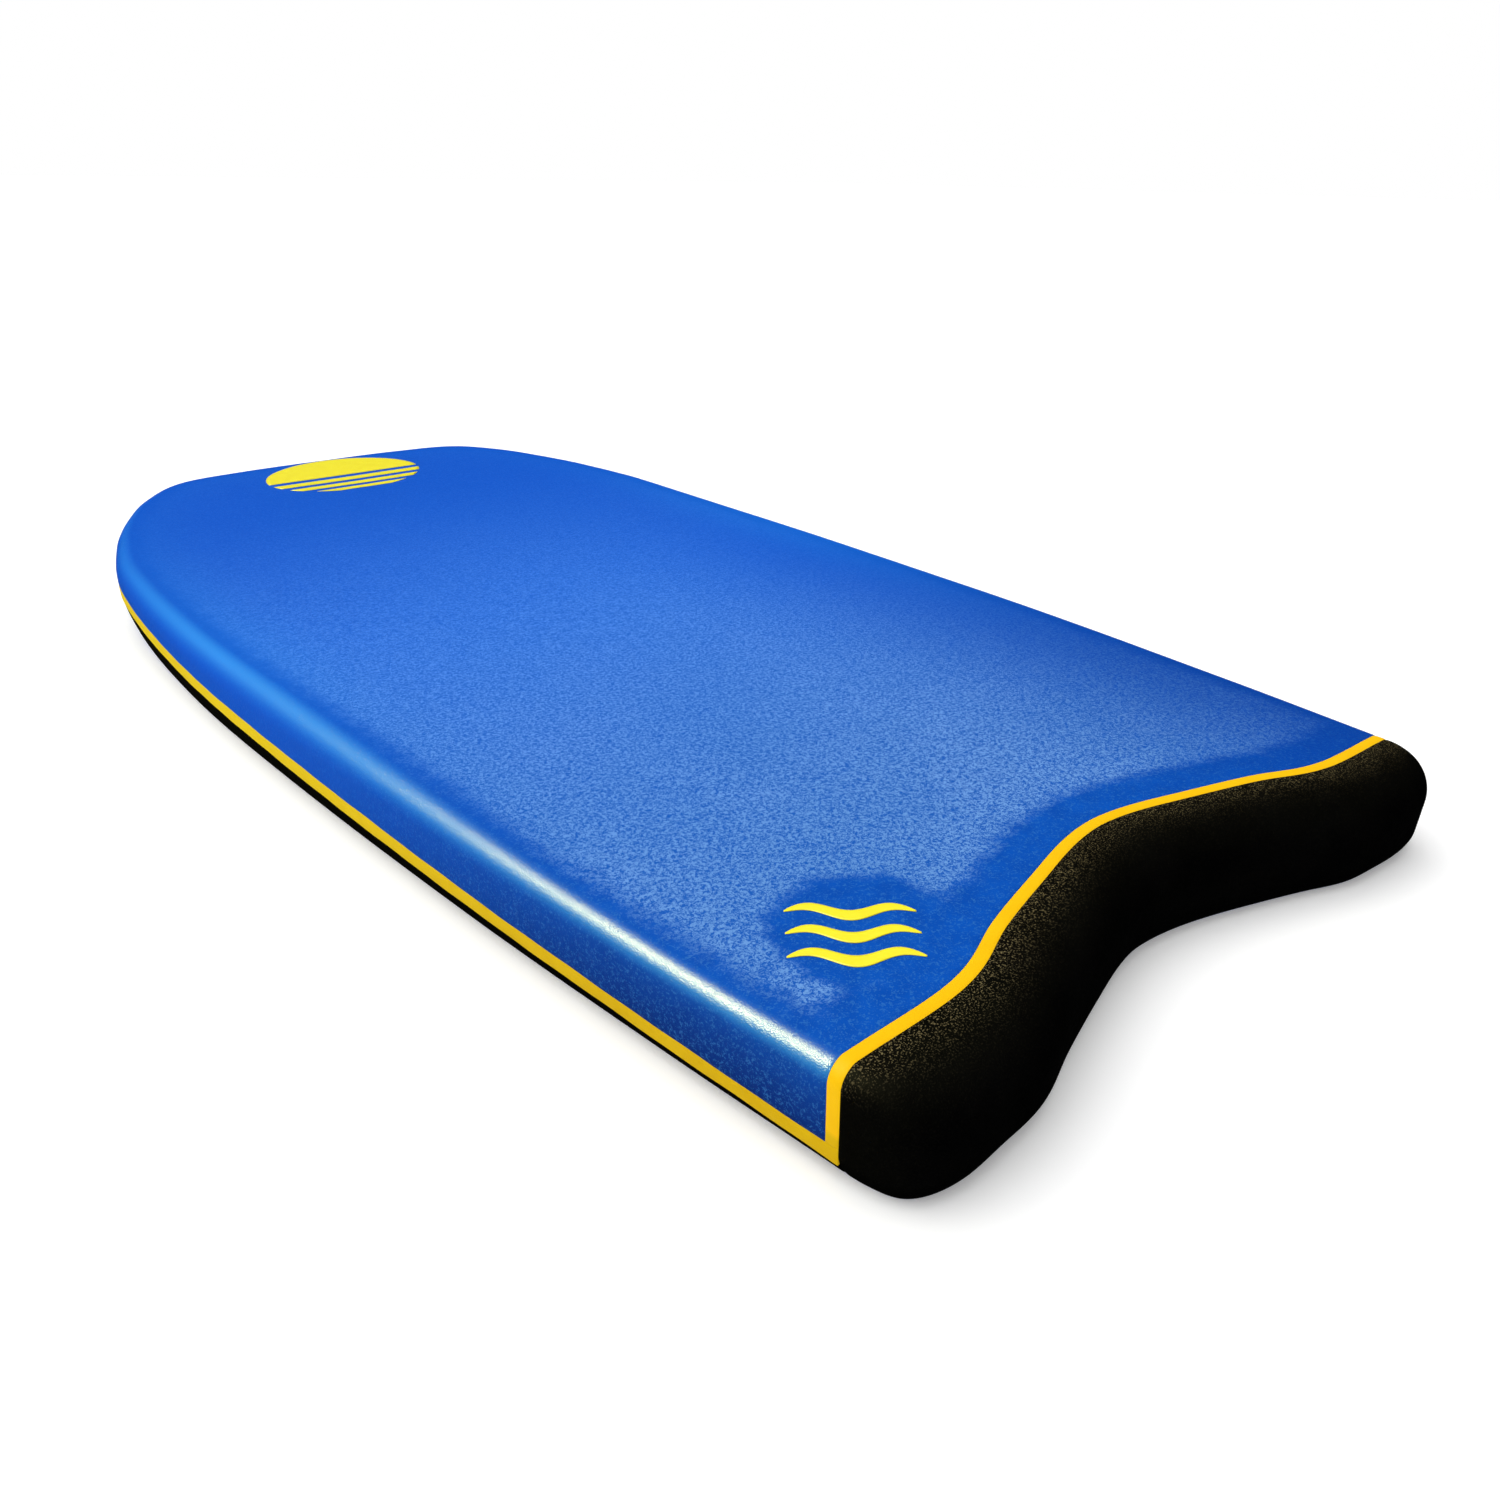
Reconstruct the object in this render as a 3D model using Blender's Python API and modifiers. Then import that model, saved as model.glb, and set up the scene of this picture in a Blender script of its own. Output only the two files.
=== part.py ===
"""A 42 inch bodyboard built as its real layers: a foam core with a stringer, a deck skin,
rail skins, a tail bumper, pinlines, a mesh and a slick. X runs across, Y from tail to nose,
and Z up. The origin is under the middle of the board, on the plane that its slick lies on."""

import math

import bmesh
import bpy
from mathutils import Matrix, Vector, geometry

# The whole board, in metres.
LENGTH = 1.0668
THICKNESS = 0.058
NOSE_THINNING = 0.0086
ROCKER_HEIGHT = 0.0238
ROCKER_START = 0.5484
ROCKER_POWER = 2.2
TAIL_OVERHANG = 0.0393  # the tail bumper's lobes, behind the deck's tail corners
TAIL_TO_ORIGIN = LENGTH / 2 - TAIL_OVERHANG

# The outline of the right half in plan, as (x, y) measured forward of the deck's tail
# corners: the notch in the tail, the right lobe and its corner, the rail, and the nose.
TAIL_KNOTS = (
    (0.0000, 0.0050),
    (0.0300, 0.0015),
    (0.0680, -0.0090),
    (0.1130, -0.0235),
    (0.1430, -0.0345),
    (0.1720, -0.0380),
    (0.2020, -0.0388),
    (0.2240, -0.0300),
    (0.2322, -0.0100),
)
RAIL_JOINT = (0.2331, -0.0015)  # where each rail strip meets the tail bumper
RAIL_KNOTS = (
    (0.2450, 0.1050),
    (0.2590, 0.2568),
    (0.2714, 0.4622),
    (0.2755, 0.6367),
    (0.2670, 0.8011),
    (0.2480, 0.8770),
)
NOSE_JOINT = (0.2268, 0.9275)  # where each rail strip meets the nose strip
NOSE_KNOTS = (
    (0.1945, 0.9790),
    (0.1510, 1.0160),
    (0.0880, 1.0260),
    (0.0000, 1.0275),
)
STEPS_PER_SPAN = 3

# The pinline across the deck's tail edge, as (x, y) in the same measure.
TAIL_PINLINE_KNOTS = (
    (0.0000, 0.0466),
    (0.0280, 0.0432),
    (0.0660, 0.0330),
    (0.1130, 0.0193),
    (0.1450, 0.0065),
    (0.1700, 0.0018),
    (0.2200, 0.0010),
    (0.3000, 0.0010),
)

# The layers and the rail's section.
GLUE_GAP = 0.0003
CORE_GAP = 0.0006  # round the core, whose skins bend round the tail's corners
SLICK = 0.0010
MESH = 0.0005
SKIN = 0.0045
TAIL_PINLINE = 0.0068
RAIL_PINLINES = (0.0076, 0.0092)  # its width at the tail and from the middle on to the nose
PINLINE_HEIGHT_TAIL = 0.0126
PINLINE_HEIGHT_NOSE = 0.0323
CHINE_INSET = 0.0056
FOOT_BEND = (0.45, 0.35)  # shares of the chine's inset and of the pinline's height
RAIL_EDGE_RADII = (0.0095, 0.0165)
RAIL_CHANGE = (0.0400, 0.4600)  # where the rail goes from its tail section to its front one
NOSE_WALL = 0.0050  # the least upright side above the pinline, where the nose is thin
TAIL_EDGE_RADIUS = 0.0220
TAIL_SWEEP = (0.0060, 0.0400)  # behind the deck's corners, where the tail's radius comes in
NOTCH_SWEEP = (0.1500, 0.2000)  # from the centre line, where the notch's radius goes out
ARC_STEPS = 3
SPINE_START = 0.1800
SPINE_END = 0.9000
INNER_RINGS = (0.4, 1.0)

# The stringer, on a straight line through the core.
STRINGER_RADIUS = 0.0060
STRINGER_WALL = 0.0015
STRINGER_START = Vector((0.0, 0.0480, 0.0270))
STRINGER_END = Vector((0.0, 0.9000, 0.0350))
BORE_MOUTH = -0.0100
CAP_FLANGE = 0.0020
CAP_SHANK = 0.0120
TURNED_STEPS = 24
PLUG_FRONT = STRINGER_START.y - 0.0030
PLUG_BACK = 0.0160

# The printed films on the deck.
FILM = 0.0004
SUN_CENTRE = 0.9650
SUN_HALF_WIDTH = 0.0790
SUN_HALF_LENGTH = 0.0530
SUN_EDGES = (0.04, 0.19, 0.37, 0.51, 0.67, 0.80, 0.94)  # shares of the half length
SUN_TIP = 0.999
SUN_TIP_WIDTH = 0.04  # a share of the half width
DISC_STEPS = 12
BAR_STEPS = 2
WAVE_CENTRE = (-0.1680, 0.0570)
WAVE_LENGTH = 0.0600
WAVE_PITCH = 0.0170
WAVE_BAND = 0.0080
WAVE_HEIGHT = 0.0035
WAVE_TURN = math.radians(-40)
WAVE_BLUNTNESS = 0.12
WAVE_STEPS = 16

# The blocks that part the tail, and what counts as one point or one smooth surface.
CUTTER_FLOOR = -0.0200
CUTTER_HEIGHT = 0.1200
CUTTER_HALF_WIDTH = 0.3000
CUTTER_MARGIN = 0.1000
WELD = 0.00001
SMOOTH_ANGLE = math.radians(35)

BLUE = (0.010, 0.070, 0.420)
YELLOW = (0.950, 0.600, 0.010)
LEMON = (0.930, 0.850, 0.010)
BLACK = (0.006, 0.006, 0.007)
WHITE = (0.800, 0.810, 0.820)


def clear_scene():
    for obj in list(bpy.data.objects):
        bpy.data.objects.remove(obj)


def make_collection(name, hidden=False):
    collection = bpy.data.collections.new(name)
    collection.hide_render = hidden
    bpy.context.scene.collection.children.link(collection)
    return collection


def make_material(name, colour, roughness, metallic=0.0):
    material = bpy.data.materials.new(name)
    material.use_nodes = True
    material.diffuse_color = (*colour, 1.0)
    shader = material.node_tree.nodes["Principled BSDF"]
    shader.inputs["Base Color"].default_value = (*colour, 1.0)
    shader.inputs["Roughness"].default_value = roughness
    shader.inputs["Metallic"].default_value = metallic
    return material


def spline(knots, steps):
    """Points on a smooth curve through the knots, with Bezier handles along each knot's chord."""
    points = [Vector(knot) for knot in knots]
    before = Vector((-points[1].x, points[1].y))
    after = Vector((-points[-2].x, points[-2].y)) if points[-1].x == 0 else points[-1]
    ring = [before, *points, after]
    curve = [points[0].copy()]
    for i in range(1, len(points)):
        start, end = ring[i], ring[i + 1]
        span = (end - start).length / 3
        handles = []
        for near, far in ((ring[i - 1], end), (start, ring[i + 2])):
            handles.append((far - near).normalized() * span)
        curve += geometry.interpolate_bezier(
            start, start + handles[0], end - handles[1], end, steps + 1
        )[1:]
    return [point.to_2d() for point in curve]


def normals_of(points, closed_at_centre):
    """The unit normals of a plan curve, on its left side going along it."""
    found = []
    for i, point in enumerate(points):
        before = points[i - 1] if i else Vector((-points[1].x, points[1].y))
        if i + 1 < len(points):
            after = points[i + 1]
        elif closed_at_centre:
            after = Vector((-points[-2].x, points[-2].y))
        else:
            after = point
        along = (after - before).normalized()
        found.append(Vector((-along.y, along.x)))
    return found


KNOTS = (*TAIL_KNOTS, RAIL_JOINT, *RAIL_KNOTS, NOSE_JOINT, *NOSE_KNOTS)
OUTLINE = spline(KNOTS, STEPS_PER_SPAN)
INWARD = normals_of(OUTLINE, True)
JOINT_TAIL = len(TAIL_KNOTS) * STEPS_PER_SPAN
JOINT_NOSE = KNOTS.index(NOSE_JOINT) * STEPS_PER_SPAN


def smooth(low, high, value):
    part = min(max((value - low) / (high - low), 0.0), 1.0)
    return part * part * (3 - 2 * part)


def rocker(y):
    """The height of the board's underside at y: flat at the back, lifting to the nose."""
    part = max(y - ROCKER_START, 0.0) / (LENGTH - TAIL_OVERHANG - ROCKER_START)
    return ROCKER_HEIGHT * part**ROCKER_POWER


def thickness(y):
    part = max(y, 0.0) / (LENGTH - TAIL_OVERHANG)
    return THICKNESS - NOSE_THINNING * part**3


def pinline_height(y):
    part = min(max(y / (LENGTH - TAIL_OVERHANG), 0.0), 1.0)
    return PINLINE_HEIGHT_TAIL + (PINLINE_HEIGHT_NOSE - PINLINE_HEIGHT_TAIL) * part


def along_rail(pair, y):
    """A size that changes along the rail from its value at the tail to the one at the front."""
    return pair[0] + (pair[1] - pair[0]) * smooth(*RAIL_CHANGE, y)


def pinline_edge(y, side):
    """The height of the rail pinline's upper edge, or with side -1 of its lower one."""
    return pinline_height(y) + side * along_rail(RAIL_PINLINES, y) / 2


def edge_radius(i):
    """The radius of the deck's edge at outline point i: small on the rails, large on the tail."""
    y = OUTLINE[i].y
    across_tail = smooth(*TAIL_SWEEP, -y)
    in_notch = 1 - smooth(*NOTCH_SWEEP, OUTLINE[i].x) if i < JOINT_TAIL else 0.0
    rail = along_rail(RAIL_EDGE_RADII, y)
    radius = rail + (TAIL_EDGE_RADIUS - rail) * max(across_tail, in_notch)
    return min(radius, thickness(y) - pinline_edge(y, 1) - NOSE_WALL)


def place(flat, height):
    """A point over flat, which is in plan, at a height above the board's underside."""
    return Vector((flat.x, flat.y - TAIL_TO_ORIGIN, rocker(flat.y) + height))


def ring(inset, height):
    """The outline's ring at an inset and a height, each a function of the outline point."""
    return [place(OUTLINE[i] + INWARD[i] * inset(i), height(i)) for i in range(len(OUTLINE))]


def spine_rings(inset, height):
    """Rings from an inset on to the board's centre line, at a height given as a function of y."""
    rings = []
    for share in INNER_RINGS:
        points = []
        for i, point in enumerate(OUTLINE):
            edge = point + INWARD[i] * inset(i)
            spine = Vector((0.0, min(max(edge.y, SPINE_START), SPINE_END)))
            flat = edge.lerp(spine, share)
            points.append(place(flat, height(flat.y)))
        rings.append(points)
    return rings


def foot_rings(depth):
    """The rail's foot, at a depth inside the outer surface, from the slick to the pinline."""
    return [
        ring(lambda i: CHINE_INSET + depth, lambda i: SLICK + GLUE_GAP),
        ring(
            lambda i: CHINE_INSET * FOOT_BEND[0] + depth,
            lambda i: FOOT_BEND[1] * pinline_height(OUTLINE[i].y),
        ),
    ]


def pinline_rings(depth, low=0.0, high=0.0):
    """The two edges of the rail's pinline, each moved up by low or high."""
    rings = []
    for side, move in ((-1, low), (1, high)):
        rings.append(ring(lambda i: depth, lambda i: pinline_edge(OUTLINE[i].y, side) + move))
    return rings


def edge_rings(depth):
    """The rail's upper part and the rounding of the deck's edge, up to the flat of the deck."""
    rings = []
    for step in range(ARC_STEPS + 1):
        turn = math.pi / 2 * step / ARC_STEPS
        rings.append(
            ring(
                lambda i: edge_radius(i) - (edge_radius(i) - depth) * math.cos(turn),
                lambda i: (
                    thickness(OUTLINE[i].y)
                    - edge_radius(i)
                    + (edge_radius(i) - depth) * math.sin(turn)
                ),
            )
        )
    return rings


def deck_rings(depth):
    return spine_rings(edge_radius, lambda y: thickness(y) - depth)


def bottom_rings(inset, height):
    return spine_rings(lambda i: inset, lambda y: height)


def new_object(name, mesh, collection, material=None):
    obj = bpy.data.objects.new(name, mesh)
    collection.objects.link(obj)
    if material:
        mesh.materials.append(material)
    return obj


def finish_mesh(name, bm):
    mesh = bpy.data.meshes.new(name)
    bm.to_mesh(mesh)
    bm.free()
    mesh.shade_smooth()
    mesh.set_sharp_from_angle(angle=SMOOTH_ANGLE)
    return mesh


def loft(name, rings, collection, material=None):
    """The right half of a body between rings, mirrored. Rings on the centre line close it."""
    bm = bmesh.new()
    rows = [[bm.verts.new(point) for point in points] for points in rings]
    for lower, upper in zip(rows, rows[1:]):
        for i in range(len(lower) - 1):
            bm.faces.new((lower[i], lower[i + 1], upper[i + 1], upper[i]))
    bmesh.ops.remove_doubles(bm, verts=bm.verts, dist=WELD)
    obj = new_object(name, finish_mesh(name, bm), collection, material)
    mirror = obj.modifiers.new("other half", "MIRROR")
    mirror.merge_threshold = WELD
    return obj


def strip(name, outer, inner, first, last, side, collection, material):
    """A strip along the outline from point first to last, between outer and inner rings."""
    section = [*outer, *reversed(inner)]
    bm = bmesh.new()
    rows = []
    for i in range(first, last + 1):
        rows.append([bm.verts.new(Vector((side * ring[i].x, *ring[i].yz))) for ring in section])
    for back, front in zip(rows, rows[1:]):
        for k in range(len(section)):
            after = (k + 1) % len(section)
            bm.faces.new((back[k], back[after], front[after], front[k]))
    bm.faces.new(reversed(rows[0]))
    bm.faces.new(rows[-1])
    bmesh.ops.recalc_face_normals(bm, faces=bm.faces)
    return new_object(name, finish_mesh(name, bm), collection, material)


def nose_strip(name, outer, inner, collection, material):
    """The strip round the nose between the two rail strips, with a glue gap at each end."""
    section = [*outer, *reversed(inner)]
    bm = bmesh.new()
    rows = []
    for i in range(JOINT_NOSE, len(OUTLINE)):
        rows.append([bm.verts.new(ring[i]) for ring in section])
    for vert in rows[0]:
        vert.co.y += GLUE_GAP
    for back, front in zip(rows, rows[1:]):
        for k in range(len(section)):
            after = (k + 1) % len(section)
            bm.faces.new((back[k], front[k], front[after], back[after]))
    bm.faces.new(rows[0])
    obj = new_object(name, finish_mesh(name, bm), collection, material)
    mirror = obj.modifiers.new("other half", "MIRROR")
    mirror.merge_threshold = WELD
    return obj


def pinline_curve(offset):
    """The tail pinline's plan curve from left to right, moved forward by an offset."""
    half = spline(TAIL_PINLINE_KNOTS, STEPS_PER_SPAN)
    moved = [point + normal * offset for point, normal in zip(half, normals_of(half, False))]
    left = [Vector((-point.x, point.y)) for point in reversed(moved[1:])]
    return left + moved


def tail_cutter(name, back, front, collection):
    """An upright block between two curves in plan, each listed from left to right."""
    bm = bmesh.new()
    outline = [*back, *reversed(front)]
    verts = [bm.verts.new((p.x, p.y - TAIL_TO_ORIGIN, CUTTER_FLOOR)) for p in outline]
    face = bm.faces.new(verts)
    made = bmesh.ops.extrude_face_region(bm, geom=[face])["geom"]
    top = [item for item in made if isinstance(item, bmesh.types.BMVert)]
    bmesh.ops.translate(bm, verts=top, vec=(0, 0, CUTTER_HEIGHT))
    bmesh.ops.recalc_face_normals(bm, faces=bm.faces)
    obj = new_object(name, finish_mesh(name, bm), collection)
    obj.hide_render = True
    obj.display_type = "WIRE"
    return obj


def cut(obj, cutter, operation, solver):
    boolean = obj.modifiers.new(cutter.name, "BOOLEAN")
    boolean.operation = operation
    boolean.object = cutter
    boolean.solver = solver


def straight_line(y):
    return [Vector((-CUTTER_HALF_WIDTH, y)), Vector((CUTTER_HALF_WIDTH, y))]


def upper_shell(name, collection, material):
    """The skin from the pinline up the rail and over the deck, all round the board."""
    outer = [pinline_rings(0, high=GLUE_GAP)[1], *edge_rings(0), *deck_rings(0)]
    inner = [pinline_rings(SKIN, high=GLUE_GAP)[1], *edge_rings(SKIN), *deck_rings(SKIN)]
    return loft(name, [*reversed(inner), *outer], collection, material)


def full_shell(name, collection, material):
    """The skin from the slick's edge up the whole rail and over the deck."""
    outer = [*foot_rings(0), *pinline_rings(0), *edge_rings(0), *deck_rings(0)]
    inner = [*foot_rings(SKIN), *pinline_rings(SKIN), *edge_rings(SKIN), *deck_rings(SKIN)]
    return loft(name, [*reversed(inner), *outer], collection, material)


def make_skins(board, cutters, deck_foam, black_foam, pinline_foam):
    half = TAIL_PINLINE / 2
    ahead = tail_cutter(
        "cut_for_deck",
        pinline_curve(half + GLUE_GAP),
        straight_line(LENGTH + CUTTER_MARGIN),
        cutters,
    )
    band = tail_cutter("cut_for_pinline", pinline_curve(-half), pinline_curve(half), cutters)
    behind = tail_cutter(
        "cut_for_bumper",
        straight_line(-CUTTER_MARGIN),
        pinline_curve(-half - GLUE_GAP),
        cutters,
    )
    cut(upper_shell("deck_skin", board, deck_foam), ahead, "INTERSECT", "MANIFOLD")
    cut(upper_shell("tail_pinline", board, pinline_foam), band, "INTERSECT", "MANIFOLD")
    cut(full_shell("tail_bumper", board, black_foam), behind, "INTERSECT", "MANIFOLD")


def make_rails(board, black_foam, pinline_foam):
    foot = [*foot_rings(0), pinline_rings(0, low=-GLUE_GAP)[0]]
    foot_inside = [*foot_rings(SKIN), pinline_rings(SKIN, low=-GLUE_GAP)[0]]
    line, line_inside = pinline_rings(0), pinline_rings(SKIN)
    for name, side in (("left", -1), ("right", 1)):
        ends = (JOINT_TAIL, JOINT_NOSE, side, board)
        strip(f"{name}_rail_skin", foot, foot_inside, *ends, black_foam)
        strip(f"{name}_rail_pinline", line, line_inside, *ends, pinline_foam)
    nose_strip("nose_rail_skin", foot, foot_inside, board, black_foam)
    nose_strip("nose_pinline", line, line_inside, board, pinline_foam)


def make_core(board, material):
    inside = SKIN + CORE_GAP
    floor = SLICK + MESH + 2 * GLUE_GAP
    sole = CHINE_INSET + inside
    rings = [
        *reversed(bottom_rings(sole, floor)),
        ring(lambda i: sole, lambda i: floor),
        foot_rings(inside)[1],
        pinline_rings(inside)[1],
        *edge_rings(inside),
        *deck_rings(inside),
    ]
    return loft("core", rings, board, material)


def make_sheet(name, inset, low, high, board, material):
    """A thin layer under the board, between two heights, with its edge at an inset."""
    rings = [
        *reversed(bottom_rings(inset, low)),
        ring(lambda i: inset, lambda i: low),
        ring(lambda i: inset, lambda i: high),
        *bottom_rings(inset, high),
    ]
    return loft(name, rings, board, material)


def along_stringer():
    """The turn that lays an upright shape along the stringer, its top towards the nose."""
    return (STRINGER_END - STRINGER_START).to_track_quat("Z", "Y").to_matrix().to_4x4()


def on_stringer(y):
    """The point of the stringer's line at y, in the board's own frame."""
    share = (y - STRINGER_START.y) / (STRINGER_END.y - STRINGER_START.y)
    point = STRINGER_START.lerp(STRINGER_END, share)
    return Vector((0.0, point.y - TAIL_TO_ORIGIN, point.z))


def rod(name, radius, back, front, collection, material=None, caps=True):
    bm = bmesh.new()
    start, end = on_stringer(back), on_stringer(front)
    bmesh.ops.create_cone(
        bm,
        cap_ends=caps,
        segments=TURNED_STEPS,
        radius1=radius,
        radius2=radius,
        depth=(end - start).length,
        matrix=Matrix.Translation((start + end) / 2) @ along_stringer(),
    )
    return new_object(name, finish_mesh(name, bm), collection, material)


def end_cap(name, y, facing, board, material):
    """A turned cap: a flange over the tube's end and a shank inside it."""
    flange = STRINGER_RADIUS
    shank = STRINGER_RADIUS - STRINGER_WALL - GLUE_GAP
    profile = (
        (0.0, CAP_FLANGE),
        (flange, CAP_FLANGE),
        (flange, 0.0),
        (shank, 0.0),
        (shank, -CAP_SHANK),
        (0.0, -CAP_SHANK),
    )
    bm = bmesh.new()
    verts = [bm.verts.new((x, 0.0, z)) for x, z in profile]
    for upper, lower in zip(verts, verts[1:]):
        bm.edges.new((upper, lower))
    obj = new_object(name, finish_mesh(name, bm), board, material)
    screw = obj.modifiers.new("turned", "SCREW")
    screw.steps = TURNED_STEPS
    screw.render_steps = TURNED_STEPS
    screw.use_merge_vertices = True
    screw.merge_threshold = WELD
    turn = along_stringer() if facing > 0 else along_stringer() @ Matrix.Rotation(math.pi, 4, "X")
    obj.matrix_world = Matrix.Translation(on_stringer(y)) @ turn
    return obj


def make_stringer(board, cutters, core, tube_material, cap_material, foam):
    bore = rod(
        "cut_bore",
        STRINGER_RADIUS + GLUE_GAP,
        BORE_MOUTH,
        STRINGER_END.y + CAP_FLANGE + 2 * GLUE_GAP,
        cutters,
    )
    bore.hide_render = True
    bore.display_type = "WIRE"
    cut(core, bore, "DIFFERENCE", "EXACT")
    tube = rod(
        "stringer_tube",
        STRINGER_RADIUS,
        STRINGER_START.y,
        STRINGER_END.y,
        board,
        tube_material,
        caps=False,
    )
    wall = tube.modifiers.new("wall", "SOLIDIFY")
    wall.thickness = STRINGER_WALL
    wall.offset = -1
    end_cap("stringer_nose_cap", STRINGER_END.y + GLUE_GAP, 1, board, cap_material)
    end_cap("stringer_tail_cap", STRINGER_START.y - GLUE_GAP, -1, board, cap_material)
    rod("bore_plug", STRINGER_RADIUS, PLUG_BACK, PLUG_FRONT, board, foam)


def make_film(name, left, right, board, material):
    """A printed film on the deck between two edges in plan, with one point of each per row."""
    bm = bmesh.new()
    rows = []
    for pair in zip(left, right):
        rows.append([bm.verts.new(place(p, thickness(p.y) + GLUE_GAP)) for p in pair])
    for back, front in zip(rows, rows[1:]):
        bm.faces.new((back[0], back[1], front[1], front[0]))
    obj = new_object(name, finish_mesh(name, bm), board, material)
    sheet = obj.modifiers.new("film", "SOLIDIFY")
    sheet.thickness = FILM
    sheet.offset = 1
    return obj


def make_sun_film(name, low, high, steps, board, material):
    """The part of the oval between two shares of its half length, back to front."""
    left, right = [], []
    for step in range(steps + 1):
        share = low + (high - low) * step / steps
        half = SUN_HALF_WIDTH * max(math.sqrt(1 - share * share), SUN_TIP_WIDTH)
        y = SUN_CENTRE + share * SUN_HALF_LENGTH
        left.append(Vector((-half, y)))
        right.append(Vector((half, y)))
    make_film(name, left, right, board, material)


def make_wave_film(name, offset, board, material):
    """One wavy bar of the tail mark, at an offset across its length."""
    left, right = [], []
    turn = Matrix.Rotation(WAVE_TURN, 2)
    for step in range(WAVE_STEPS + 1):
        share = step / WAVE_STEPS
        taper = math.sqrt(max(math.sin(math.pi * share), WAVE_BLUNTNESS))
        middle = offset + WAVE_HEIGHT * math.sin(3 * math.pi * share)
        along = WAVE_LENGTH * (share - 0.5)
        for edge, move in ((left, 1), (right, -1)):
            point = Vector((along, middle + move * WAVE_BAND / 2 * taper))
            edge.append(turn @ point + Vector(WAVE_CENTRE))
    make_film(name, left, right, board, material)


def make_prints(board, material):
    make_sun_film("nose_print_disc", -SUN_EDGES[0], SUN_TIP, DISC_STEPS, board, material)
    for k in range(3):
        low, high = SUN_EDGES[2 * k + 1], SUN_EDGES[2 * k + 2]
        make_sun_film(f"nose_print_bar_{k + 1}", -high, -low, BAR_STEPS, board, material)
    for k in range(3):
        make_wave_film(f"tail_print_wave_{k + 1}", (k - 1) * WAVE_PITCH, board, material)


def main():
    clear_scene()
    board = make_collection("bodyboard")
    cutters = make_collection("cutters", hidden=True)
    deck_foam = make_material("blue deck foam", BLUE, 0.55)
    black_foam = make_material("black foam", BLACK, 0.80)
    pinline_foam = make_material("yellow pinline foam", YELLOW, 0.60)
    core_foam = make_material("white core foam", WHITE, 0.85)
    plug_foam = make_material("white plug foam", WHITE, 0.80)
    mesh_weave = make_material("white mesh", WHITE, 0.70)
    slick_film = make_material("blue slick", BLUE, 0.25)
    tube_wall = make_material("black carbon tube", BLACK, 0.35)
    cap_plastic = make_material("white cap plastic", WHITE, 0.50)
    film_ink = make_material("lemon film", LEMON, 0.45)
    make_skins(board, cutters, deck_foam, black_foam, pinline_foam)
    make_rails(board, black_foam, pinline_foam)
    core = make_core(board, core_foam)
    make_stringer(board, cutters, core, tube_wall, cap_plastic, plug_foam)
    under_mesh = CHINE_INSET + SKIN + GLUE_GAP
    mesh_floor = SLICK + GLUE_GAP
    make_sheet("bottom_mesh", under_mesh, mesh_floor, mesh_floor + MESH, board, mesh_weave)
    make_sheet("bottom_slick", CHINE_INSET, 0.0, SLICK, board, slick_film)
    make_prints(board, film_ink)


main()
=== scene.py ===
"""The looks of a 42 inch bodyboard: its skins, pinlines, bumper, slick and printed films as
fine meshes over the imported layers, with procedural foam, slick and ink materials."""

import math

import bmesh
import bpy
import numpy as np
from mathutils import Matrix, Vector, geometry, noise


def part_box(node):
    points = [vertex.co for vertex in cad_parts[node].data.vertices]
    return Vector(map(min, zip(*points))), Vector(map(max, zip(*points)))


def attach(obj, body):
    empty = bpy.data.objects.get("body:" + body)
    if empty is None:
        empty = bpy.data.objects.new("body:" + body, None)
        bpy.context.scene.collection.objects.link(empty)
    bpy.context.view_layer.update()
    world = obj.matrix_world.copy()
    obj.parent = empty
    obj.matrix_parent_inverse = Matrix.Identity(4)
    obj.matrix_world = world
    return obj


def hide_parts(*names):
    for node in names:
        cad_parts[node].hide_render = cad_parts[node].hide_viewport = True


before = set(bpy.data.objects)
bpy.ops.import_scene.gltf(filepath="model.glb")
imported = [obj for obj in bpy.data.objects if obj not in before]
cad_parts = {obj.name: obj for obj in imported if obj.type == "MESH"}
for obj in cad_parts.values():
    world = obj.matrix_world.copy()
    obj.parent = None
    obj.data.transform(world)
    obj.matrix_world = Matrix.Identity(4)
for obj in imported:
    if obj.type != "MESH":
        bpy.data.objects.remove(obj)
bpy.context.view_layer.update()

ROOT = "root"

# The board, in metres, in the frame's own axes: X across, Y from tail to nose, Z up. Plan
# measures run forward from the deck's tail corners, which lie TAIL_TO_ORIGIN behind the origin.
NOSE_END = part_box("deck_skin")[1][1]
TAIL_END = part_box("tail_bumper")[0][1]
TAIL_OVERHANG = 0.0393
BOARD = NOSE_END - TAIL_END - TAIL_OVERHANG
TAIL_TO_ORIGIN = -TAIL_END - TAIL_OVERHANG

THICKNESS = 0.058
NOSE_THINNING = 0.0086
ROCKER_HEIGHT = 0.0238
ROCKER_START = 0.5484
ROCKER_POWER = 2.2
TAIL_PINLINE = 0.0067
RAIL_PINLINES = (0.0076, 0.0092)
PINLINE_HEIGHT_TAIL = 0.0126
PINLINE_HEIGHT_NOSE = 0.0323
CHINE_INSET = 0.0056
CHINE_POWER = 1.5
FOOT_HEIGHT = 0.0010
SLICK_WALL = 0.0008
SLICK_INSET = CHINE_INSET + 0.0012
SLICK_ROUNDING = 0.0006
SKIN = 0.0030
TAIL_EDGE_RADIUS = 0.0220
TAIL_EDGE_FADES = (0.0060, 0.0400)  # how far behind the corners the large radius comes in
NOTCH_SIDES = (0.1500, 0.2000)  # where it ends across the notch
NOTCH_REACH = 0.1000
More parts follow.
